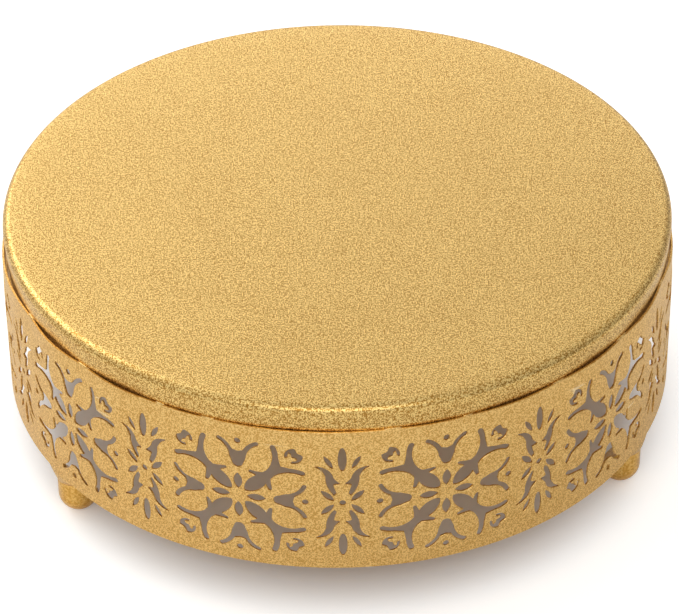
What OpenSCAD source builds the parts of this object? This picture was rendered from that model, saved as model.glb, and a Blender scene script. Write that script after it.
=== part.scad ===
// Round cake stand: pressed steel top plate, pierced band welded round its skirt, three ball feet.
// Millimetres. The feet stand on z = 0, +Z is up and -Y is the front.

/* [Top plate] */
// Outer radius of the plate's skirt
plate_r = 101.6; // [76:0.1:152]
// Thickness of the plate sheet
plate_t = 0.8; // [0.6:0.1:1.2]
// Outer radius of the rounded shoulder
shoulder_r = 3; // [2:0.1:5]
// Depth of the skirt, from the top face to its cut edge
skirt_h = 14; // [12:0.5:18]

/* [Band] */
// Height of the band
band_h = 49.8; // [40:0.1:62]
// Thickness of the band sheet
band_t = 0.7; // [0.6:0.1:1]
// Drop from the plate's top face to the band's top edge
band_drop = 8.5; // [6:0.1:10]
// Air between the skirt and the band
band_gap = 0.4; // [0.1:0.05:0.6]

/* [Piercing] */
// Plain rail above the piercing
rail_top = 5.2; // [4:0.1:8]
// Plain rail below the piercing
rail_low = 4.6; // [4:0.1:8]
// Least plain length left on each side of the band's seam
seam_rail = 5; // [3:0.5:9]

/* [Feet] */
// Radius of a foot
foot_r = 6.1; // [4:0.1:8]
// Height of the band's lower edge above the table
foot_below = 16.7; // [12:0.1:20]
// Length of the foot that stands up inside the band
foot_grip = 1.8; // [1.5:0.1:4]
// Chamfer round the top of a foot
foot_chamfer = 0.8; // [0.3:0.1:1]
// Turn of the feet away from the front
foot_turn = 3.3; // [0:0.1:30]

/* [Welds] */
// Width of the band's butt weld
seam_w = 1.6; // [1:0.1:3]
// Number of tack welds between the band and the skirt
tack_count = 22; // [12:1:30]
// Arc length of one tack weld
tack_len = 7; // [4:0.5:10]
// Turn of the tack welds away from +X
tack_turn = 10; // [0:0.5:15]
// Weld metal between a foot and the band
foot_gap = 0.3; // [0.2:0.05:0.5]
// Width of the weld that holds a foot
foot_weld_w = 7.2; // [5:0.1:7.5]

/* [Hidden] */
$fn = 96;
gold = [0.83, 0.66, 0.38];
weld_gold = [0.78, 0.6, 0.33];

band_z0 = foot_below;
band_z1 = band_z0 + band_h;
top_z = band_z1 + band_drop;
band_ri = plate_r + band_gap;
band_ro = band_ri + band_t;
front = -90;
cut = 1;

// Feet
foot_count = 3;
foot_len = band_z0 + foot_grip;
foot_axis = band_ri - foot_gap - foot_r;
back_at = 90 + foot_turn;
foot_step = 360 / foot_count;

// The piercing is drawn on a square of 40 units and scaled to the room between the rails.
grid = 40;
grid_pitch = 60.5;
grid_sprig = 15.3;
k = (band_h - rail_top - rail_low) / grid;
pierce_z = band_z0 + rail_low + k * grid / 2;
pitch = grid_pitch * k;
sprig_w = grid_sprig * k;
band_len = 2 * PI * (band_ri + band_ro) / 2;
medallions = floor((band_len - sprig_w - 2 * seam_rail) / pitch);
step = 360 * pitch / band_len;

// Four petals at the heart of a medallion
petal_len = 5.7;
petal_w = 2.6;
petal_mid = 5.3;
// Tulip: nose, curved horn and the dot between the horns
tulip_nose = 12;
tulip_nose_r = 1.65;
tulip_eye = [13.5, 8];
tulip_r = 6.3;
tulip_w = 1.4;
tulip_turn = [-88, -22, -65];
tulip_notch = 16;
dot_r = 0.95;
dot_mid = 19.55;
// Lily on the diagonal: leaf, side lobe, curved horn
lily_tip = 2.9;
leaf_eye = [7.6, -4.6];
leaf_r = 6.9;
lobe_eye = [9.4, 4];
lobe_r = 0.55;
lily_neck = [12.1, 1.6];
lily_eye = [12.8, 9];
lily_r = 8.45;
lily_w = 1.7;
lily_turn = [-84, -21, -45];
lily_crotch = 17.75;
// Claw in the corner
claw_eye = [23.2, 0];
claw_out_r = 2.65;
claw_in_r = 1.75;
claw_notch = 24.7;
claw_bump = [23.05, 0.9];
claw_heart = 22.5;
// Sprig between two medallions
bud_len = 8.2;
bud_w = 2.5;
bud_mid = 15.7;
bud_sides = 12;
seed_len = 5;
seed_w = 1.3;
seed_at = [4, 14.7];
seed_lean = 60;
tear_len = 5.3;
tear_w = 1.6;
tear_at = [4.25, 2.6];
tear_lean = 46;
frond_eye = [-4.6, 9];
frond_r = 9.45;
frond_hook_eye = [9.3, 8.8];
frond_hook_r = 4.4;
frond_tip = [7.6, 13.4];
frond_back_eye = [7.3, 8.4];
frond_back_r = 4.8;
barb_eye = [1.25, 7.2];
barb_r = 0.42;
frond_waist = [2.6, 6.4];
frond_heel = [1.95, 4.2];
frond_toe = [1.7, 2.6];

// Points on an arc round c, from angle a to angle b, in n steps
function arc(c, r, a, b, n) = [for (i = [0:n]) c + r * [cos(a + (b - a) * i / n), sin(a + (b - a) * i / n)]];

// Curved horn of width w with a round tip; turn holds where it starts, its tip and where it ends
function horn(c, r, w, turn) = concat(
    arc(c, r - w / 2, turn[0], turn[1], 3),
    arc(c + r * [cos(turn[1]), sin(turn[1])], w / 2, turn[1] + 180, turn[1], 3),
    arc(c, r + w / 2, turn[1], turn[2], 2));

// Half an outline and its mirror image below the x axis
function both(p) = concat(p, [for (i = [len(p) - 2:-1:1]) [p[i][0], -p[i][1]]]);

function oval(l, w, n) = [for (i = [0:n - 1]) [l / 2 * cos(360 * i / n), w / 2 * sin(360 * i / n)]];

function tulip() = both(concat(
    arc([tulip_nose, 0], tulip_nose_r, 180, 95, 2),
    horn(tulip_eye, tulip_r, tulip_w, tulip_turn),
    [[tulip_notch, 0]]));

function lily() = both(concat(
    [[lily_tip, 0]],
    arc(leaf_eye, leaf_r, 125, 74, 3),
    arc(lobe_eye, lobe_r, 190, 20, 2),
    [lily_neck],
    horn(lily_eye, lily_r, lily_w, lily_turn),
    [[lily_crotch, 0]]));

function claw() = both(concat(
    [[claw_notch, 0]],
    arc(claw_eye, claw_out_r, 38, 152, 4),
    arc(claw_eye, claw_in_r, 148, 100, 1),
    [claw_bump, [claw_heart, 0]]));

function frond() = concat(
    arc(frond_eye, frond_r, -42, 4, 3),
    arc(frond_hook_eye, frond_hook_r, 164, 115, 2),
    [frond_tip],
    arc(frond_back_eye, frond_back_r, 100, 172, 3),
    arc(barb_eye, barb_r, 80, 260, 2),
    [frond_waist, frond_heel, frond_toe]);

// Pointed oval of two exact arcs, lying along x
module lens(l, w) {
    r = (l * l + w * w) / (4 * w);
    intersection() {
        translate([0, r - w / 2]) circle(r);
        translate([0, w / 2 - r]) circle(r);
    }
}

module medallion() {
    for (a = [0:90:270]) {
        rotate(a) translate([k * petal_mid, 0]) lens(k * petal_len, k * petal_w);
        rotate(a) polygon(k * tulip());
        rotate(a) translate([k * dot_mid, 0]) circle(k * dot_r);
        rotate(a + 45) polygon(k * lily());
        rotate(a + 45) polygon(k * claw());
    }
}

module sprig_quarter() {
    translate(k * seed_at) rotate(seed_lean) lens(k * seed_len, k * seed_w);
    translate(k * tear_at) rotate(tear_lean) lens(k * tear_len, k * tear_w);
    polygon(k * frond());
}

module sprig() {
    circle(k * dot_r);
    for (m = [0, 1]) mirror([0, m]) {
        translate([0, k * bud_mid]) rotate(90) polygon(k * oval(bud_len, bud_w, bud_sides));
        sprig_quarter();
        mirror([1, 0]) sprig_quarter();
    }
}

// Turns a flat drawing into a cutter that goes out through the band at angle a
module through_band(a) {
    rotate(a) translate([band_ri - cut, 0, pierce_z]) rotate([90, 0, 90])
        linear_extrude(band_t + 2 * cut) children();
}

module seam_box() {
    rotate(-front) translate([band_ri - cut, -seam_w / 2, band_z0])
        cube([band_t + 2 * cut, seam_w, band_h]);
}

module ring(ro, ri, z, h) {
    difference() {
        translate([0, 0, z]) cylinder(r = ro, h = h);
        translate([0, 0, z - cut]) cylinder(r = ri, h = h + 2 * cut);
    }
}

// Solid of the plate's outline, used for its outside and its inside
module pan(r, s, h) {
    square([r - s, h]);
    square([r, h - s]);
    translate([r - s, h - s]) circle(s);
}

module top_plate() {
    color(gold) translate([0, 0, top_z - skirt_h]) rotate_extrude() difference() {
        pan(plate_r, shoulder_r, skirt_h);
        translate([0, -cut]) pan(plate_r - plate_t, shoulder_r - plate_t, skirt_h - plate_t + cut);
    }
}

module pierced_band() {
    color(gold) difference() {
        ring(band_ro, band_ri, band_z0, band_h);
        for (i = [0:medallions - 1])
            through_band(front + (i - (medallions - 1) / 2) * step) medallion();
        for (i = [0:medallions])
            through_band(front + (i - medallions / 2) * step) sprig();
        seam_box();
    }
}

module band_seam_weld() {
    color(weld_gold) intersection() {
        ring(band_ro, band_ri, band_z0, band_h);
        seam_box();
    }
}

// Beads on the band's top edge, run into the skirt
module rim_tack_welds() {
    bead = band_gap + band_t;
    turn = 360 * tack_len / band_len;
    color(weld_gold) for (i = [0:tack_count - 1])
        rotate(tack_turn + i * 360 / tack_count - turn / 2) translate([0, 0, band_z1])
            rotate_extrude(angle = turn) intersection() {
                translate([plate_r, 0]) circle(bead);
                translate([plate_r, 0]) square(bead);
            }
}

module foot(i) {
    color(gold) rotate(back_at + i * foot_step) translate([foot_axis, 0, 0]) {
        translate([0, 0, foot_r]) sphere(foot_r);
        translate([0, 0, foot_r]) cylinder(r = foot_r, h = foot_len - foot_r - foot_chamfer);
        translate([0, 0, foot_len - foot_chamfer])
            cylinder(r1 = foot_r, r2 = foot_r - foot_chamfer, h = foot_chamfer);
    }
}

module foot_back() {
    foot(0);
}

module foot_left() {
    foot(1);
}

module foot_right() {
    foot(2);
}

// Weld metal that fills the wedge between each foot and the inside of the band
module foot_welds() {
    weld_h = foot_grip - foot_chamfer;
    $fn = 720;
    color(weld_gold) for (i = [0:foot_count - 1]) rotate(back_at + i * foot_step) difference() {
        intersection() {
            translate([0, 0, band_z0]) cylinder(r = band_ri, h = weld_h);
            translate([foot_axis, -foot_weld_w / 2, band_z0]) cube([2 * foot_r, foot_weld_w, weld_h]);
        }
        translate([foot_axis, 0, band_z0 - cut]) cylinder(r = foot_r, h = weld_h + 2 * cut);
    }
}

top_plate();
pierced_band();
band_seam_weld();
rim_tack_welds();
foot_left();
foot_right();
foot_back();
foot_welds();
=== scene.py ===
"""Looks of the round gold cake stand: plate, pierced band, three feet and their welds.

Metres, with -Y as the front.
"""

import math

import bmesh
import bpy
import numpy as np
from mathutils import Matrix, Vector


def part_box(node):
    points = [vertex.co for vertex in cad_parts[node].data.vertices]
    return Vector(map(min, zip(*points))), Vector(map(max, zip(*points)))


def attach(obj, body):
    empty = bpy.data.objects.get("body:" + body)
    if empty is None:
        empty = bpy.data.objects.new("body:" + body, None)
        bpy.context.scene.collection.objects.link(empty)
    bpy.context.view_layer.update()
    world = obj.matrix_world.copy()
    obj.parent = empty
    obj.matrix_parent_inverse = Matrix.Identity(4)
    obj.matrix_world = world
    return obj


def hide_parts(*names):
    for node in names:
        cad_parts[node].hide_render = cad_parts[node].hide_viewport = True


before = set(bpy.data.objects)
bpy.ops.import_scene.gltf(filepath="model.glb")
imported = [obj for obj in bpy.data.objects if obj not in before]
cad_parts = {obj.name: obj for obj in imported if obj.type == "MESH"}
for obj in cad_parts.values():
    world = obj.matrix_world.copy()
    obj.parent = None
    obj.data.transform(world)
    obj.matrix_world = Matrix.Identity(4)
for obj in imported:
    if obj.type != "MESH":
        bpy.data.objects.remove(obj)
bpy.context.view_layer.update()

MM = 0.001
FRONT = -90.0

# How close a point has to be to count as on a cut, on an end, in a flat top, or in the plate's top or edge
ON_CUT = 0.0005 * MM
ON_END = 0.002 * MM
IN_TOP = 0.01 * MM
IN_RIM = 0.1 * MM
# Points nearer than this become one: in a piece, between units of the band, and between its lengths
MERGE = 0.004 * MM
MERGE_UNITS = 0.01 * MM
MERGE_LENGTHS = 0.012 * MM

plate_lo, plate_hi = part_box("top_plate")
band_lo, band_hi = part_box("pierced_band")

PLATE_R = plate_hi.x
PLATE_TOP = plate_hi.z
SKIRT_END = plate_lo.z
SHEET = 0.8 * MM
SHOULDER = 2.5 * MM
SKIRT_DRAFT = 0.9 * MM
CUT_EDGE = 0.12 * MM
# Facets round the plate, rings down its skirt and steps in across its top, in mm
PLATE_SIDES = 288
SKIRT_RINGS = (5.0, 8.0, 11.0)
TOP_RINGS = (9.0, 21.0, 24.0, 24.0, 16.0)

BAND_R = band_hi.x
BAND_T = 0.7 * MM
BAND_MID = BAND_R - BAND_T / 2
BAND_LOW, BAND_TOP = band_lo.z, band_hi.z
BAND_LEN = 2 * math.pi * BAND_MID
EDGE = 0.11 * MM
# Gap that the seam's weld fills, and the bead's own width
SEAM_W = 1.6 * MM
SEAM_BEAD_W = 2.3 * MM

# Piercing, in mm: lower rail, height of the pierced zone, and one medallion to the next
RAIL_LOW = 4.6
GRID = 40.0
PITCH = 60.5
MEDALLIONS = 10
# Ends of a unit of the band, from the middle of its medallion
UNIT_LEFT = -21.3
UNIT_RIGHT = UNIT_LEFT + PITCH
# Length of a slice, and how far a strip runs on before its open end is cut
SLICE = 3.8
SPARE = 2.0

# Where the band's top edge touches the skirt, in degrees, and how far it stands off
# before the next touch, in mm
TOUCHES = [
    (14, 0.6), (30, 0.5), (47, 0.7), (63, 0.6), (80, 0.2), (90, 0.2), (100, 0.6), (116, 0.5), (132, 0.7),
    (149, 0.5), (165, 0.7), (181, 0.85), (206.5, 0.85), (222.8, 0.65), (239.4, 0.25), (248, 0.3),
    (278.2, 0.3), (290.7, 0.6), (308, 0.6), (324, 0.7), (341, 0.6), (357, 0.6),
]
# How far the band's top edge is pulled in at a touch, how far down that reaches,
# and the rings at which the band bends, in mm
PULL_IN = 0.85
PULL_DEPTH = 16.0
RINGS = (1.6, 4.2, 7.5, 11.5, PULL_DEPTH)

# Feet: fall of the shank's cut top for each step inwards, its plain collar and its eased end
SLOPE = 1.15
COLLAR = 3.0 * MM
CHAMFER = 1.0 * MM
# Weld on a foot: half its width, height and thickness, how far it lies inside the band's
# face, and how far its middle lies below the band's edge
WELD_ALONG = 6.6 * MM
WELD_UP = 4.6 * MM
WELD_OUT = 1.55 * MM
WELD_IN = 0.02 * MM
WELD_DROP = 0.9 * MM
# Share of the foot's roundness that its weld follows, its lean below the middle, and its waviness
WELD_WRAP = 0.55
WELD_LEAN = 0.10
WELD_WAVE = 0.03

# Beads: slices, and depth of the ripple
BEAD_SLICES = 14
RIPPLE = 0.10
# Tack welds: length and height with how much each varies, width, how far they stand off
# the skirt, and how far their middle lies below the band's top
TACK_LENGTH, TACK_LENGTH_VARIES = 4.2, 1.3
TACK_HEIGHT, TACK_HEIGHT_VARIES = 0.85, 0.12
TACK_WIDTH = 1.0 * MM
TACK_OFF = 0.18 * MM
TACK_DROP = 0.05 * MM

FOOT_NODES = {"ball_foot_left": "foot_left", "ball_foot_right": "foot_right", "ball_foot_back": "foot_back"}

# White floor: where its lift starts and is full, from the middle of the stand, and how strong it is. Nearer
# in, the floor is left unlifted, which paints shade under and round the stand.
FLOOR_NEAR = 82 * MM
FLOOR_FAR = 112 * MM
FLOOR_LIFT = 0.48
# Studio seen in the metal: its level, and what it gains overhead, at the back and at the left
STUDIO = 0.33
STUDIO_HIGH = 0.34
STUDIO_REAR = 0.10
STUDIO_SIDE = 0.16
# Camera: focal length in mm, place in metres and turn in degrees
LENS = 178.746
CAMERA_PLACE = (-0.0043966, -0.8396780, 0.6638881)
CAMERA_TURN = (53.136995, 0.575901, -0.756585)


# ---------------------------------------------------------------- bpy helpers

def deselect():
    """Nothing is active or selected, so that the next operator acts on its own piece."""
    if bpy.context.object and bpy.context.object.mode != "OBJECT":
        bpy.ops.object.mode_set(mode="OBJECT")
    bpy.ops.object.select_all(action="DESELECT")


def pick(piece):
    """Makes the piece the only one that is active and selected."""
    deselect()
    piece.select_set(True)
    bpy.context.view_layer.objects.active = piece


def named(name):
    """Names the piece that an operator has just made."""
    piece = bpy.context.object
    piece.name = name
    piece.data.name = name
    return piece


def edit(piece, mode="VERT"):
    """Opens the piece in edit mode with nothing selected and gives its bmesh."""
    pick(piece)
    bpy.ops.object.mode_set(mode="EDIT")
    bpy.ops.mesh.select_mode(type=mode)
    bpy.ops.mesh.select_all(action="DESELECT")
    return bmesh.from_edit_mesh(piece.data)


def choose(piece, mode, test):
    """Selects vertices that pass the test, edges whose two ends do, or faces whose middle does."""
    shape = edit(piece, mode)
    group = {"VERT": shape.verts, "EDGE": shape.edges, "FACE": shape.faces}[mode]
    for part in group:
        if mode == "VERT":
            keep = test(part.co)
        elif mode == "EDGE":
            keep = all(test(v.co) for v in part.verts)
        else:
            keep = test(part.calc_center_median())
        if keep:
            part.select_set(True)
    shape.select_flush_mode()
    bmesh.update_edit_mesh(piece.data)


def done(piece):
    """Closes edit mode."""
    bpy.ops.object.mode_set(mode="OBJECT")
    return piece


def modify(piece, kind, **settings):
    """Adds a modifier and applies it."""
    pick(piece)
    modifier = piece.modifiers.new(kind.title(), kind)
    for key, value in settings.items():
        setattr(modifier, key, value)
    bpy.ops.object.modifier_apply(modifier=modifier.name)


def settle(piece):
    """Bakes the piece's place into its mesh, so that its object sits at the origin."""
    pick(piece)
    bpy.ops.object.transform_apply(location=True, rotation=True, scale=True)


def outward(piece):
    """Merges doubled points and turns the faces outwards."""
    edit(piece)
    bpy.ops.mesh.select_all(action="SELECT")
    bpy.ops.mesh.remove_doubles(threshold=MERGE)
    bpy.ops.mesh.normals_make_consistent(inside=False)
    done(piece)


def smooth(piece, angle=40):
    pick(piece)
    bpy.ops.object.shade_smooth_by_angle(angle=math.radians(angle))


def join(pieces, name):
    """Makes one object of several."""
    pick(pieces[0])
    for piece in pieces:
        piece.select_set(True)
    bpy.ops.object.join()
    return named(name)


def reshape(piece, change):
    """Moves every vertex by a function of its coordinates, an array of rows x, y, z."""
    flat = np.empty(len(piece.data.vertices) * 3)
    piece.data.vertices.foreach_get("co", flat)
    moved = change(flat.reshape(-1, 3))
    piece.data.vertices.foreach_set("co", moved.ravel())
    piece.data.update()


def twin(piece, name):
    """A copy with a mesh of its own."""
    copy = piece.copy()
    copy.data = piece.data.copy()
    copy.name = name
    bpy.context.collection.objects.link(copy)
    return copy


# ------------------------------------------------------------------ band form

def smoothstep(t):
    """0 to 1 with an easy start and end."""
    t = np.clip(t, 0, 1)
    return t * t * (3 - 2 * t)


def stand_off(turn):
    """How far the band's top edge stands off the skirt at each angle in degrees, in mm."""
    turn = np.mod(turn, 360)
    off = np.zeros_like(turn)
    for (start, height), (end, _) in zip(TOUCHES, TOUCHES[1:] + [(TOUCHES[0][0] + 360, 0)]):
        t = (np.where(turn < TOUCHES[0][0], turn + 360, turn) - start) / (end - start)
        inside = (t >= 0) & (t <= 1)
        off = np.where(inside, height * np.sin(np.pi * np.clip(t, 0, 1)) ** 1.4, off)
    return off


def roll_up(rows):
    """Rolls a flat strip (x along it, y out of it, z up) round the stand.

    Its top edge is pulled in to the skirt.
    """
    turn = np.radians(FRONT) + rows[:, 0] / BAND_MID
    rise = smoothstep((rows[:, 2] - (BAND_TOP - PULL_DEPTH * MM)) / (PULL_DEPTH * MM))
    pull = (stand_off(np.degrees(turn)) - PULL_IN) * MM * rise
    radius = BAND_MID + rows[:, 1] + pull
    return np.stack([radius * np.cos(turn), radius * np.sin(turn), rows[:, 2]], axis=1)


# ------------------------------------------------------------------- outlines

def arc(centre, radius, start, end, steps):
    """Points on a circle from one angle to another, in degrees."""
    return [
        (centre[0] + radius * math.cos(math.radians(start + (end - start) * i / steps)),
         centre[1] + radius * math.sin(math.radians(start + (end - start) * i / steps)))
        for i in range(steps + 1)
    ]


def horn(centre, radius, width, start, tip, end):
    """Curved horn with a round tip."""
    nose = arc(centre, radius, tip, tip, 1)[0]
    return (
        arc(centre, radius - width / 2, start, tip, 7)
        + arc(nose, width / 2, tip + 180, tip, 6)[1:-1]
        + arc(centre, radius + width / 2, tip, end, 5)
    )


def both(points):
    """Half an outline and its mirror image below the x axis."""
    return points + [(x, -y) for x, y in points[-2:0:-1]]


def lens(length, width):
    """Pointed oval along x, with its points a little rounded."""
    radius = (length * length + width * width) / (4 * width)
    half = math.degrees(math.asin(length / 2 / radius)) * 0.97
    upper = arc((0, width / 2 - radius), radius, 90 - half, 90 + half, 7)
    return upper + [(-x, -y) for x, y in upper]


def oval(length, width, steps=22):
    return [
        (length / 2 * math.cos(2 * math.pi * i / steps), width / 2 * math.sin(2 * math.pi * i / steps))
        for i in range(steps)
    ]


def placed(points, turn=0.0, shift=(0.0, 0.0)):
    """The outline turned, in degrees, and then moved."""
    c, s = math.cos(math.radians(turn)), math.sin(math.radians(turn))
    return [(c * x - s * y + shift[0], s * x + c * y + shift[1]) for x, y in points]


def flipped(points, across_x, across_y):
    return [(x * across_x, y * across_y) for x, y in points]


PETAL = placed(lens(5.7, 2.6), shift=(5.3, 0))
DOT = oval(1.9, 1.9, 14)
TULIP = both(arc((12, 0), 1.65, 180, 95, 6) + horn((13.5, 8), 6.3, 1.4, -88, -22, -65) + [(16, 0)])
LILY = both(
    [(2.9, 0), (2.95, 0.25)] + arc((7.6, -4.6), 6.9, 125, 74, 9) + arc((9.4, 4), 0.55, 190, 20, 7)
    + [(11.2, 2.5), (12.1, 1.6)] + horn((12.8, 9), 8.45, 1.7, -84, -21, -45) + [(17.75, 0)]
)
CLAW = both(
    [(24.7, 0)] + arc((23.2, 0), 2.65, 38, 152, 10) + arc((23.2, 0), 1.75, 148, 100, 5)
    + [(23.05, 0.9), (22.5, 0)]
)
BUD = placed(oval(8.2, 2.5), 90, (0, 15.7))
SEED = placed(lens(5.1, 1.5), 60, (4, 14.7))
TEAR = placed(lens(5.4, 1.9), 46, (4.35, 2.55))
FROND = (
    arc((-4.6, 9), 9.45, -42, 4, 9) + arc((9.3, 8.8), 4.4, 164, 115, 7)
    + [(7.75, 13.0), (7.65, 13.35)] + arc((7.3, 8.4), 4.8, 98, 172, 10) + arc((1.25, 7.2), 0.42, 80, 260, 6)
    + [(2.1, 6.75), (2.6, 6.4), (2.35, 5.4), (1.95, 4.2), (1.75, 3.3)]
)


def medallion(middle):
    """Cut-outs of one round flower: four petals, tulips and dots, with four lilies and claws between."""
    cuts = []
    for turn in (0, 90, 180, 270):
        cuts += [placed(shape, turn) for shape in (PETAL, TULIP, placed(DOT, shift=(19.55, 0)))]
        cuts += [placed(shape, turn + 45) for shape in (LILY, CLAW)]
    return [placed(shape, shift=(middle, 0)) for shape in cuts]


def sprig(middle):
    """Cut-outs of the upright leaf spray between two medallions."""
    cuts = [DOT]
    for up in (1, -1):
        cuts.append(flipped(BUD, 1, up))
        for side in (1, -1):
            cuts += [flipped(shape, side, up) for shape in (SEED, TEAR, FROND)]
    return [placed(shape, shift=(middle, 0)) for shape in cuts]


# --------------------------------------------------------------------- pieces

def strip(name, left, right, cuts, clear_left, clear_right):
    """A length of the flat band with its cut-outs: a slab with eased edges, open at the cleared ends."""
    x0 = left - (SPARE if clear_left else 0)
    x1 = right + (SPARE if clear_right else 0)
    low, high = BAND_LOW / MM, BAND_TOP / MM
    middle = low + RAIL_LOW + GRID / 2
    curve = bpy.data.curves.new(name, "CURVE")
    curve.dimensions = "2D"
    curve.fill_mode = "BOTH"
    curve.extrude = BAND_T / 2 - EDGE
    curve.bevel_depth = EDGE
    curve.bevel_resolution = 0
    curve.offset = -EDGE
    outlines = [[(x0, low), (x1, low), (x1, high), (x0, high)]]
    outlines += [[(x, z + middle) for x, z in shape] for shape in cuts]
    for outline in outlines:
        spline = curve.splines.new("POLY")
        spline.points.add(len(outline) - 1)
        for point, (x, z) in zip(spline.points, outline):
            point.co = (x * MM, z * MM, 0, 1)
        spline.use_cyclic_u = True
    piece = bpy.data.objects.new(name, curve)
    bpy.context.collection.objects.link(piece)
    pick(piece)
    bpy.ops.object.convert(target="MESH")
    piece = bpy.context.object
    piece.rotation_euler.x = math.radians(90)
    settle(piece)
    reshape(piece, lambda rows: rows * np.array([1, -1, 1]))
    outward(piece)
    edit(piece)
    slices = max(2, round((right - left) / SLICE))
    for i in range(slices + 1):
        x = left + (right - left) * i / slices
        if (i == 0 and not clear_left) or (i == slices and not clear_right):
            continue
        bpy.ops.mesh.select_all(action="SELECT")
        bpy.ops.mesh.bisect(
            plane_co=(x * MM, 0, 0), plane_no=(1, 0, 0), threshold=ON_CUT,
            clear_inner=i == 0, clear_outer=i == slices,
        )
    for drop in RINGS:
        bpy.ops.mesh.select_all(action="SELECT")
        bpy.ops.mesh.bisect(plane_co=(0, 0, BAND_TOP - drop * MM), plane_no=(0, 0, 1), threshold=ON_CUT)
    done(piece)
    open_ends = ([left * MM] if clear_left else []) + ([right * MM] if clear_right else [])
    kept = [BAND_TOP - drop * MM for drop in RINGS] + [BAND_LOW, BAND_LOW + EDGE, BAND_TOP - EDGE, BAND_TOP]

    def loose_point(co):
        on_end = any(abs(co.x - x) < ON_END for x in open_ends)
        return on_end and all(abs(co.z - z) > ON_END for z in kept)

    choose(piece, "VERT", loose_point)
    bpy.ops.mesh.dissolve_verts()
    return done(piece)


def make_band():
    """Ten units of a medallion and a sprig in a row, a sprig and a plain stretch at the ends, rolled up."""
    first = -(MEDALLIONS - 1) / 2 * PITCH
    reach = (BAND_LEN - SEAM_W) / 2 / MM
    unit = strip("unit", UNIT_LEFT, UNIT_RIGHT, medallion(0) + sprig(PITCH / 2), True, True)
    modify(
        unit, "ARRAY", count=MEDALLIONS, use_relative_offset=False, use_constant_offset=True,
        constant_offset_displace=(PITCH * MM, 0, 0), use_merge_vertices=True, merge_threshold=MERGE_UNITS,
    )
    unit.location.x = first * MM
    settle(unit)
    left = strip("left", -reach, first + UNIT_LEFT, sprig(first - PITCH / 2), False, True)
    right_from = first + (MEDALLIONS - 1) * PITCH + UNIT_RIGHT
    right = strip("right", right_from, reach, [], True, False)
    band = join([unit, left, right], "band_strip")
    edit(band)
    bpy.ops.mesh.select_all(action="SELECT")
    bpy.ops.mesh.remove_doubles(threshold=MERGE_LENGTHS)
    bpy.ops.mesh.normals_make_consistent(inside=False)
    done(band)
    reshape(band, roll_up)
    smooth(band, 35)
    return band


def make_plate():
    """Pressed pan: a flat top, a rounded shoulder and a skirt that draws in a little towards its cut edge."""
    middle = (PLATE_TOP + SKIRT_END) / 2
    deselect()
    bpy.ops.mesh.primitive_cylinder_add(
        vertices=PLATE_SIDES, radius=PLATE_R, depth=PLATE_TOP - SKIRT_END, location=(0, 0, middle),
    )
    plate = named("plate_pan")
    settle(plate)
    choose(plate, "FACE", lambda co: co.z < SKIRT_END + IN_RIM)
    bpy.ops.mesh.delete(type="FACE")
    done(plate)
    choose(plate, "EDGE", lambda co: co.z > PLATE_TOP - IN_RIM)
    bpy.ops.mesh.bevel(offset=SHOULDER, segments=10, profile=0.5, affect="EDGES", offset_type="OFFSET")
    done(plate)
    for drop in SKIRT_RINGS:
        edit(plate)
        bpy.ops.mesh.select_all(action="SELECT")
        bpy.ops.mesh.bisect(plane_co=(0, 0, PLATE_TOP - drop * MM), plane_no=(0, 0, 1), threshold=ON_CUT)
        done(plate)
    for ring in TOP_RINGS:
        shape = edit(plate, "FACE")
        top = max((f for f in shape.faces if f.calc_center_median().z > middle), key=lambda f: len(f.verts))
        top.select_set(True)
        bmesh.update_edit_mesh(plate.data)
        bpy.ops.mesh.inset(thickness=ring * MM)
        done(plate)
    span = PLATE_TOP - SHOULDER - SKIRT_END

    def draw_in(rows):
        share = np.clip((PLATE_TOP - SHOULDER - rows[:, 2]) / span, 0, 1)
        scale = 1 - SKIRT_DRAFT * share / PLATE_R
        return rows * np.stack([scale, scale, np.ones_like(scale)], axis=1)

    reshape(plate, draw_in)
    modify(plate, "SOLIDIFY", thickness=SHEET, offset=-1)
    modify(plate, "BEVEL", width=CUT_EDGE, segments=2, limit_method="ANGLE", angle_limit=math.radians(60))
    smooth(plate, 40)
    return plate


def foot_place(node):
    """Middle, radius, lower and upper end of a foot in the frame."""
    lo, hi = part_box(node)
    middle = (lo + hi) / 2
    radius = (hi.x - lo.x) / 2
    return middle.x, middle.y, radius, lo.z, hi.z


def make_foot(name, node):
    """Turned foot: a ball below, drawn up into a plain shank with an eased end inside the band."""
    x, y, radius, low, high = foot_place(node)
    deselect()
    bpy.ops.mesh.primitive_uv_sphere_add(
        segments=64, ring_count=36, radius=radius, location=(0, 0, low + radius),
    )
    foot = named(name)
    settle(foot)
    choose(foot, "FACE", lambda co: co.z > low + radius)
    bpy.ops.mesh.delete(type="FACE")
    done(foot)
    shank = high - low - radius - CHAMFER - COLLAR
    for lift, size in ((COLLAR, 1), (shank, 1), (CHAMFER, (radius - CHAMFER) / radius)):
        top = max(v.co.z for v in foot.data.vertices)
        choose(foot, "VERT", lambda co: co.z > top - IN_TOP)
        bpy.ops.mesh.extrude_region_move(TRANSFORM_OT_translate={"value": (0, 0, lift)})
        if size != 1:
            bpy.ops.transform.resize(value=(size, size, 1), center_override=(0, 0, 0))
        done(foot)
    edit(foot, "EDGE")
    bpy.ops.mesh.select_non_manifold()
    bpy.ops.mesh.fill_grid()
    done(foot)
    foot.location = (x, y, 0)
    settle(foot)
    # The shank slopes down away from the band, so that only the ball is left on the inner side
    out = np.array((x, y)) / math.hypot(x, y)
    edit(foot)
    bpy.ops.mesh.select_all(action="SELECT")
    bpy.ops.mesh.bisect(
        plane_co=(x + out[0] * radius, y + out[1] * radius, high),
        plane_no=(-SLOPE * out[0], -SLOPE * out[1], 1),
        use_fill=True, clear_outer=True, threshold=0.001 * MM,
    )
    done(foot)
    outward(foot)
    smooth(foot, 50)
    return foot


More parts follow.
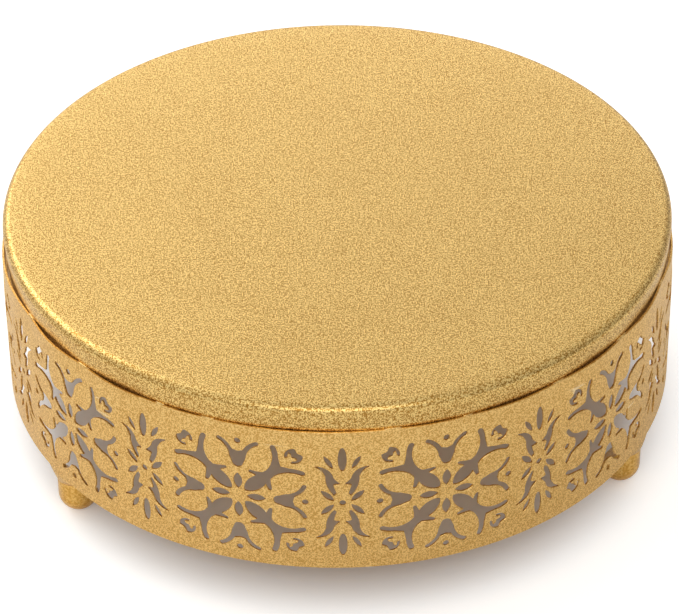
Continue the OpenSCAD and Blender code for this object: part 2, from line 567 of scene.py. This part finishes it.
def make_foot_weld(name, node):
    """Weld metal dressed smooth, from the band's lower edge down onto the foot."""
    x, y, radius, *_ = foot_place(node)
    turn = math.atan2(y, x)
    deselect()
    bpy.ops.mesh.primitive_uv_sphere_add(segments=48, ring_count=28, radius=1)
    weld = named(name)
    reach = BAND_R - WELD_IN

    def shape(rows):
        along = rows[:, 1] * WELD_ALONG
        up = rows[:, 2] * WELD_UP
        out = rows[:, 0] * WELD_OUT
        curl = along ** 2 / (2 * radius) * smoothstep(-rows[:, 2])
        r = reach - WELD_OUT + out - WELD_WRAP * curl - WELD_LEAN * np.maximum(0, -up)
        spread = along / BAND_MID
        wobble = 1 + WELD_WAVE * np.sin(rows[:, 1] * 7 + 1.3)
        height = BAND_LOW - WELD_DROP + up * wobble
        return np.stack([r * np.cos(turn + spread), r * np.sin(turn + spread), height], axis=1)

    reshape(weld, shape)
    smooth(weld, 80)
    return weld


def make_bead(name):
    """Weld bead one unit long, wide and high, along x round the origin, rippled and with tapered ends."""
    deselect()
    bpy.ops.mesh.primitive_cylinder_add(
        vertices=14, radius=0.5, depth=1, end_fill_type="TRIFAN", rotation=(0, math.radians(90), 0),
    )
    bead = named(name)
    settle(bead)
    edit(bead)
    for i in range(1, BEAD_SLICES):
        bpy.ops.mesh.select_all(action="SELECT")
        bpy.ops.mesh.bisect(plane_co=(i / BEAD_SLICES - 0.5, 0, 0), plane_no=(1, 0, 0), threshold=0.0001)
    done(bead)

    def taper(rows):
        t = rows[:, 0] * 2
        fat = np.sqrt(np.clip(1.02 - t * t, 0.02, 1)) * (1 + RIPPLE * np.cos(rows[:, 0] * 2 * math.pi * 5))
        return np.stack([rows[:, 0], rows[:, 1] * fat, rows[:, 2] * fat], axis=1)

    reshape(bead, taper)
    outward(bead)
    return bead


def make_tack_welds():
    """One bead at each place where the band's top edge touches the skirt, laid in the corner between them."""
    beads = []
    model = make_bead("bead")
    for i, (turn, _) in enumerate(TOUCHES):
        bead = twin(model, f"bead_{i}")
        length = (TACK_LENGTH + TACK_LENGTH_VARIES * math.sin(i * 2.1)) * MM
        height = (TACK_HEIGHT + TACK_HEIGHT_VARIES * math.sin(i * 3.7)) * MM

        def lay(rows, turn=turn, length=length, height=height):
            radius = PLATE_R - SKIRT_DRAFT * 0.5 + TACK_OFF + rows[:, 1] * TACK_WIDTH
            angle = math.radians(turn) + rows[:, 0] * length / BAND_MID
            z = BAND_TOP - TACK_DROP + rows[:, 2] * height
            return np.stack([radius * np.cos(angle), radius * np.sin(angle), z], axis=1)

        reshape(bead, lay)
        beads.append(bead)
    bpy.data.objects.remove(model)
    welds = join(beads, "tack_beads")
    outward(welds)
    smooth(welds, 60)
    return welds


def make_seam_weld():
    """Bead that closes the band at the back, ground nearly flush."""
    bead = make_bead("seam_bead")
    tall = BAND_TOP - BAND_LOW - 0.1 * MM

    def stand_up(rows):
        x = BAND_LEN / 2 + rows[:, 2] * SEAM_BEAD_W
        y = np.clip(rows[:, 1] * 1.25 * BAND_T, -BAND_T * 0.62, BAND_T * 0.49)
        z = (BAND_LOW + BAND_TOP) / 2 + rows[:, 0] * tall
        return roll_up(np.stack([x, y, z], axis=1))

    reshape(bead, stand_up)
    outward(bead)
    smooth(bead, 60)
    return bead


# ------------------------------------------------------------------ materials

class Value:
    """A node socket with arithmetic: each operation adds its Math node."""

    def __init__(self, graph, socket):
        self.graph, self.socket = graph, socket

    def _math(self, operation, a, b):
        return self.graph.add("ShaderNodeMath", {"operation": operation}, {0: a, 1: b})

    def __add__(self, other):
        return self._math("ADD", self, other)

    def __sub__(self, other):
        return self._math("SUBTRACT", self, other)

    def __rsub__(self, other):
        return self._math("SUBTRACT", other, self)

    def __mul__(self, other):
        return self._math("MULTIPLY", self, other)

    __radd__, __rmul__ = __add__, __mul__


class Graph:
    """A node tree. add() makes any node from its type, its settings and its sockets' values or links."""

    def __init__(self, tree):
        self.tree = tree
        tree.nodes.clear()

    def add(self, kind, settings=None, inputs=None, output=0):
        node = self.tree.nodes.new(kind)
        for key, value in (settings or {}).items():
            setattr(node, key, value)
        for key, value in (inputs or {}).items():
            if isinstance(value, Value):
                self.tree.links.new(value.socket, node.inputs[key])
            else:
                node.inputs[key].default_value = value
        return Value(self, node.outputs[output]) if node.outputs else None

    def noise(self, place, scale, detail, roughness):
        return self.add(
            "ShaderNodeTexNoise", {"noise_dimensions": "3D"},
            {"Vector": place, "Scale": scale, "Detail": detail, "Roughness": roughness},
        )

    def split(self, vector):
        """The x, y and z of a vector."""
        node = self.add("ShaderNodeSeparateXYZ", None, {0: vector}).socket.node
        return [Value(self, socket) for socket in node.outputs]

    def mix(self, share, a, b):
        """Mixes two colours. The node has a set of sockets for each kind of value: these are the colours'."""
        return self.add("ShaderNodeMix", {"data_type": "RGBA"}, {0: share, 6: a, 7: b}, output=2)

    def ramp(self, value, low, high):
        """0 below low, 1 above high."""
        return self.add(
            "ShaderNodeMapRange", {"interpolation_type": "SMOOTHSTEP"},
            {"Value": value, "From Min": low, "From Max": high},
        )


def gold_coat(name, deep, pale, edge_highlight_tone, rough, flake, contrast, dent, coat):
    """Satin gold lacquer over metal: fine flakes of two tones, slow clouding, a painted highlight that makes
    convex edges paler, a grain.
    """
    material = bpy.data.materials.new(name)
    material.use_nodes = True
    g = Graph(material.node_tree)
    place = g.add("ShaderNodeTexCoord", output="Object")
    flakes = g.noise(place, flake, 1.0, 0.5)
    grit = g.noise(place, flake * 0.45, 2.0, 0.55)
    cloud = g.noise(place, 30.0, 2.0, 0.5)
    # Painted highlight: convex edges, found by pointiness, are mixed towards a paler tone and made a little
    # glossier
    edge_highlight = g.ramp(g.add("ShaderNodeNewGeometry", output="Pointiness"), 0.53, 0.62)
    spread = g.ramp(flakes * 0.75 + grit * 0.25, 0.5 - 0.14 / contrast, 0.5 + 0.14 / contrast)
    share = spread + (cloud - 0.5) * 0.18
    tone = g.mix(share, deep, pale)
    tone = g.mix(edge_highlight * 0.55, tone, edge_highlight_tone)
    bump = g.add(
        "ShaderNodeBump", None,
        {"Strength": dent, "Distance": 0.05 * MM, "Height": flakes * 0.7 + grit * 0.6},
    )
    shader = g.add(
        "ShaderNodeBsdfPrincipled", None,
        {
            "Base Color": tone, "Metallic": 1.0,
            "Roughness": rough + (flakes - 0.5) * 0.25 + (cloud - 0.5) * 0.06 - edge_highlight * 0.05,
            "Normal": bump, "Coat Weight": coat, "Coat Roughness": 0.25,
        },
    )
    g.add("ShaderNodeOutputMaterial", None, {"Surface": shader})
    return material


def gold_set():
    """The coats: the plate's coarse grain, the band's finer one, smooth feet, and gold over the welds."""
    # Pale tone of the painted highlight on convex edges
    edge_highlight_tone = (1.0, 0.86, 0.60, 1)
    return {
        "plate": gold_coat(
            "satin_gold_plate", (0.46, 0.23, 0.04, 1), (1.0, 0.72, 0.27, 1), edge_highlight_tone,
            rough=0.38, flake=2600.0, contrast=4.0, dent=0.9, coat=0.12,
        ),
        "band": gold_coat(
            "satin_gold_band", (0.64, 0.36, 0.09, 1), (0.97, 0.66, 0.25, 1), edge_highlight_tone,
            rough=0.40, flake=2300.0, contrast=1.4, dent=0.45, coat=0.04,
        ),
        "foot": gold_coat(
            # The foot's third tone is the pale colour of the painted highlight on its convex edges
            "polished_gold_foot", (0.68, 0.36, 0.06, 1), (0.95, 0.60, 0.17, 1), (0.95, 0.7, 0.3, 1),
            rough=0.24, flake=1200.0, contrast=1.0, dent=0.15, coat=0.3,
        ),
        "weld": gold_coat(
            "gold_over_weld", (0.60, 0.34, 0.09, 1), (0.94, 0.64, 0.24, 1), edge_highlight_tone,
            rough=0.36, flake=1700.0, contrast=1.5, dent=0.5, coat=0.1,
        ),
    }


# ----------------------------------------------------------- floor and lights

def seen_by_camera(g):
    """1 where the camera looks straight at it, and 0 for what metal mirrors and for light."""
    return g.add("ShaderNodeLightPath", output="Is Camera Ray")


def lay_floor():
    """Pale floor, lifted to white for the camera away from the stand, so that the shadow stays. The lift
    fades out towards the stand, which also paints shade under and round it.
    """
    deselect()
    bpy.ops.mesh.primitive_plane_add(size=14, location=(0, 0, 0))
    floor = named("floor_sheet")
    settle(floor)
    material = bpy.data.materials.new("white_floor")
    material.use_nodes = True
    g = Graph(material.node_tree)
    body = g.add("ShaderNodeBsdfDiffuse", None, {"Color": (0.93, 0.92, 0.90, 1)})
    place = g.add("ShaderNodeTexCoord", output="Object")
    reach = g.add("ShaderNodeVectorMath", {"operation": "LENGTH"}, {0: place}, output="Value")
    # Painted shade: no lift under and near the stand, rising to the full lift further out
    lift_beyond_painted_shade = g.ramp(reach, FLOOR_NEAR, FLOOR_FAR)
    lift = g.add("ShaderNodeEmission", None, {
        "Color": (1, 1, 1, 1), "Strength": seen_by_camera(g) * lift_beyond_painted_shade * FLOOR_LIFT,
    })
    both_shaders = g.add("ShaderNodeAddShader", None, {0: body, 1: lift})
    g.add("ShaderNodeOutputMaterial", None, {"Surface": both_shaders})
    floor.data.materials.append(material)


def softbox(name, place, aim, width, height, power):
    """White rectangular lamp at a place, aimed at a point."""
    light = bpy.data.lights.new(name, "AREA")
    light.shape = "RECTANGLE"
    light.size, light.size_y = width, height
    light.energy = power
    lamp = bpy.data.objects.new(name, light)
    bpy.context.collection.objects.link(lamp)
    lamp.location = place
    away = np.array(aim) - np.array(place)
    flat = math.hypot(away[0], away[1])
    lamp.rotation_euler = (math.atan2(flat, -away[2]), 0, math.atan2(away[1], away[0]) - math.pi / 2)


def light_studio():
    """A world that is white for the camera and softer for light and mirrored rays, and three lamps."""
    world = bpy.data.worlds.new("studio")
    bpy.context.scene.world = world
    world.use_nodes = True
    g = Graph(world.node_tree)
    seen = seen_by_camera(g)
    across, behind, up = g.split(g.add("ShaderNodeTexCoord", output="Object"))
    rear = g.ramp(behind, 0.2, 0.9)
    high = g.ramp(up, -0.05, 0.6)
    soft = STUDIO + high * STUDIO_HIGH + rear * STUDIO_REAR - across * STUDIO_SIDE
    level = seen + (1 - seen) * soft
    back = g.add("ShaderNodeBackground", None, {"Color": (1, 1, 1, 1), "Strength": level})
    g.add("ShaderNodeOutputWorld", None, {"Surface": back})
    softbox("key_left", (-0.80, 0.70, 0.95), (0, 0, 0.05), 1.1, 0.8, 5.6)
    softbox("fill_front", (0.0, -1.2, 0.8), (0, 0, 0.03), 0.9, 0.7, 3.6)
    softbox("low_back", (-0.05, 0.50, 0.27), (0, 0.08, 0.07), 0.8, 0.16, 0.34)


def set_camera():
    camera = bpy.data.cameras.new("camera")
    camera.sensor_width = 36
    camera.lens = LENS
    view = bpy.data.objects.new("camera", camera)
    bpy.context.collection.objects.link(view)
    view.location = CAMERA_PLACE
    view.rotation_euler = [math.radians(a) for a in CAMERA_TURN]
    bpy.context.scene.camera = view
    bpy.context.scene.view_settings.view_transform = "Standard"


# ------------------------------------------------------------------- assembly

def finish_piece(piece, coat, slot, *nodes):
    """Gives the piece its coat and puts it in the place of its nodes in the frame."""
    piece.data.materials.clear()
    piece.data.materials.append(coat)
    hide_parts(*nodes)
    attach(piece, "root")


golds = gold_set()
finish_piece(make_plate(), golds["plate"], "plate_gold", "top_plate")
finish_piece(make_band(), golds["band"], "band_gold", "pierced_band")
finish_piece(make_seam_weld(), golds["weld"], "weld_gold", "band_seam_weld")
finish_piece(make_tack_welds(), golds["weld"], "weld_gold", "rim_tack_welds")
foot_welds = []
for foot_name, foot_node in FOOT_NODES.items():
    finish_piece(make_foot(foot_name, foot_node), golds["foot"], "foot_gold", foot_node)
    foot_welds.append(make_foot_weld("weld_" + foot_node, foot_node))
finish_piece(join(foot_welds, "foot_weld_beads"), golds["weld"], "weld_gold", "foot_welds")

lay_floor()
light_studio()
set_camera()
